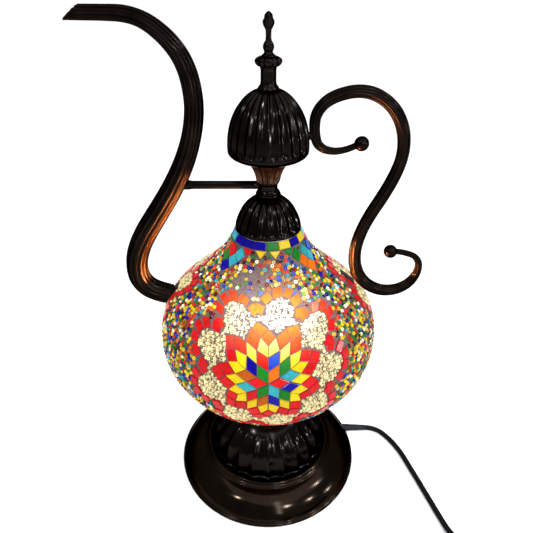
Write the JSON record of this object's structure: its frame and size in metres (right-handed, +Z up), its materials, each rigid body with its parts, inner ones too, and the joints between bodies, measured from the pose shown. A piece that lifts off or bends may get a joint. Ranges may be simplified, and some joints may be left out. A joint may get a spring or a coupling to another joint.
{
  "type": "mosaic glass table lamp",
  "caption": "Ewer-shaped table lamp: lit mosaic glass globe on a fluted dark bronze pedestal, with a fluted dome, spire, tall curved spout, scrolled handle and coiled mains cord.",
  "frame": {"origin": "centre of the felt face that the base rests on", "axes": "+Z up along the rod, +X towards the handle, -X towards the spout, +Y away from the viewer"},
  "size_m": [0.3516, 0.3179, 0.4757],
  "materials": {
    "felt": "matt felt",
    "steel": "zinc plated",
    "iron": "rough casting",
    "bronze": "glossy dark bronze lacquer",
    "cast_bronze": "glossy dark bronze lacquer over cast aluminium",
    "copper_bronze": "rubbed reddish bronze",
    "brass": "bare",
    "rubber": "black",
    "globe_glass": "clear blown glass",
    "mosaic": "coloured glass tiles and seed beads in grey grout",
    "holder_plastic": "white bakelite",
    "lead": "white sheath",
    "bulb_metal": "rolled thread",
    "bulb_glass": "frosted, lit",
    "cord": "soft black sheath",
    "black_plastic": "black",
    "rocker_red": "red",
    "pin_metal": "nickel plated"
  },
  "bodies": {
    "lamp": {"felt_pad": "felt", "base_cover": "steel", "base_shell": "bronze", "base_weight": "iron", "base_washer": "steel", "base_nut": "brass", "pedestal": "bronze", "globe_gallery": "bronze", "globe_gasket": "rubber", "centre_rod": "brass", "holder_bracket": "steel", "bracket_nuts": "brass", "lampholder": "holder_plastic", "holder_sleeve": "brass", "inner_lead": "lead", "globe_glass": "globe_glass", "mosaic_skin": "mosaic", "top_cap": "bronze", "neck_collar": "bronze", "strut_bar": "bronze", "funnel": "copper_bronze", "dome_bowl": "bronze", "dome": "bronze", "finial_base": "bronze", "finial_ring": "bronze", "finial_stud": "steel", "spout": "cast_bronze", "spout_pad": "rubber", "handle": "cast_bronze", "handle_peg": "bronze", "handle_pad": "rubber", "handle_ball_upper": "cast_bronze", "handle_ball_lower": "cast_bronze", "cord_bushing": "rubber", "cord_lamp_side": "cord", "cord_switch_side": "cord", "cord_coil": "cord", "coil_tie": "rubber", "cord_plug_side": "cord", "switch_base": "black_plastic", "switch_cover": "black_plastic", "switch_screws": "steel", "plug_body": "black_plastic", "plug_pins": "pin_metal"},
    "rocker": {"switch_rocker": "rocker_red"},
    "bulb": {"bulb_cap": "bulb_metal", "bulb_glass": "bulb_glass"},
    "spire": {"finial_spire": "bronze"}
  },
  "joints": [
    {"name": "switch_rock", "type": "hinge", "parent": "lamp", "child": "rocker", "pos_m": [0.188, -0.146, 0.0145], "axis": [1, 0, 0], "range_deg": [-14, 0]},
    {"name": "bulb_turn", "type": "hinge", "parent": "lamp", "child": "bulb", "pos_m": [0.01992, -0.01671, 0.165], "axis": [0, 0, 1], "range_deg": [0, 360]},
    {"name": "spire_turn", "type": "hinge", "parent": "lamp", "child": "spire", "pos_m": [0, 0, 0.445], "axis": [0, 0, 1], "range_deg": [0, 360]}
  ]
}
